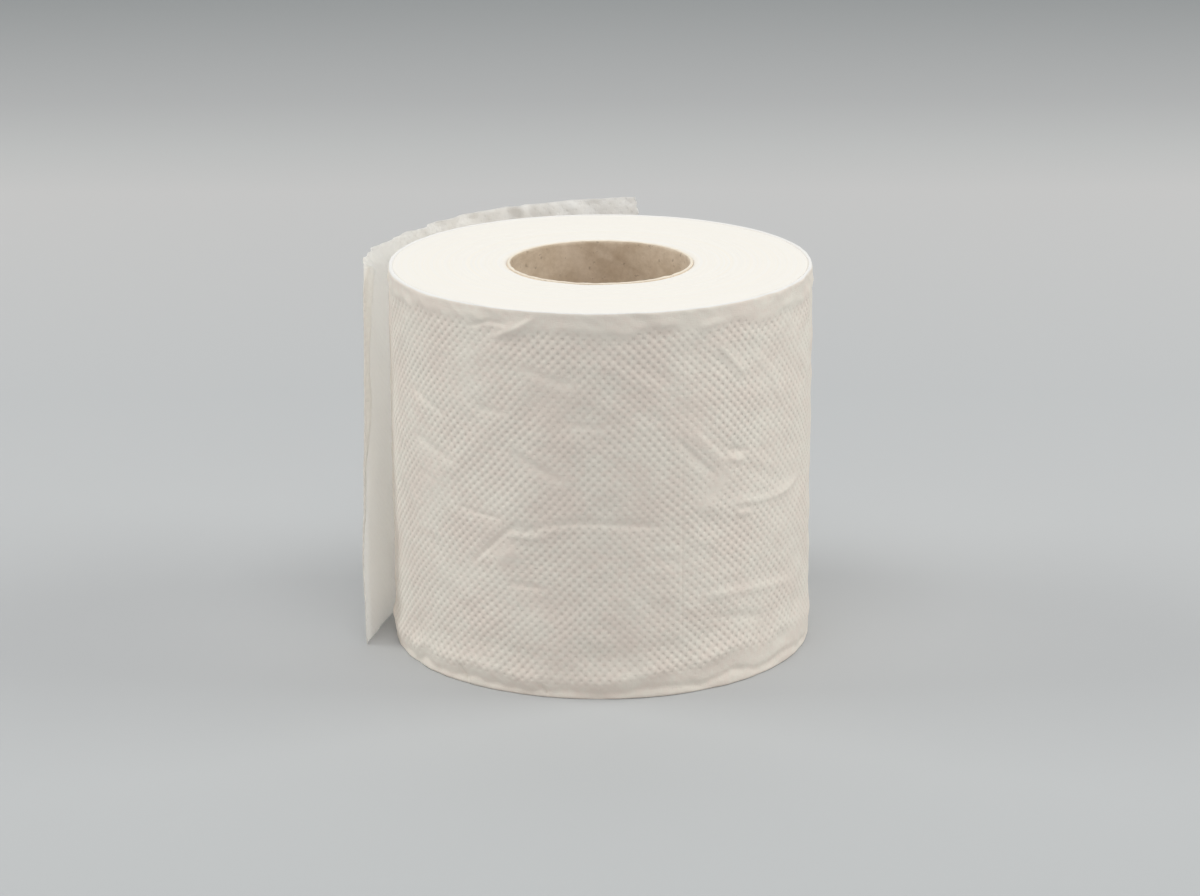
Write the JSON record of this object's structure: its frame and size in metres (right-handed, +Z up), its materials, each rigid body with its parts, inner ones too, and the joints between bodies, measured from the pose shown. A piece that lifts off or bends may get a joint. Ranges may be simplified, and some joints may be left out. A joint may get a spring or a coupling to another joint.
{
  "type": "toilet paper roll",
  "caption": "Roll of embossed toilet tissue wound on an open cardboard core, standing on end, its last sheet half torn off and loose at the side.",
  "frame": {"origin": "on the core's axis, at the surface that the roll stands on", "axes": "+Z up along the core's axis; the web is wound counterclockwise outwards as seen from above, and its loose end is at -X"},
  "size_m": [0.1135, 0.1262, 0.096],
  "materials": {
    "tissue": "soft matte white, embossed with small dots",
    "core_board": "matte grey-brown recycled board"
  },
  "bodies": {
    "root": {"paper_roll": "tissue", "cardboard_core": "core_board"}
  },
  "joints": []
}
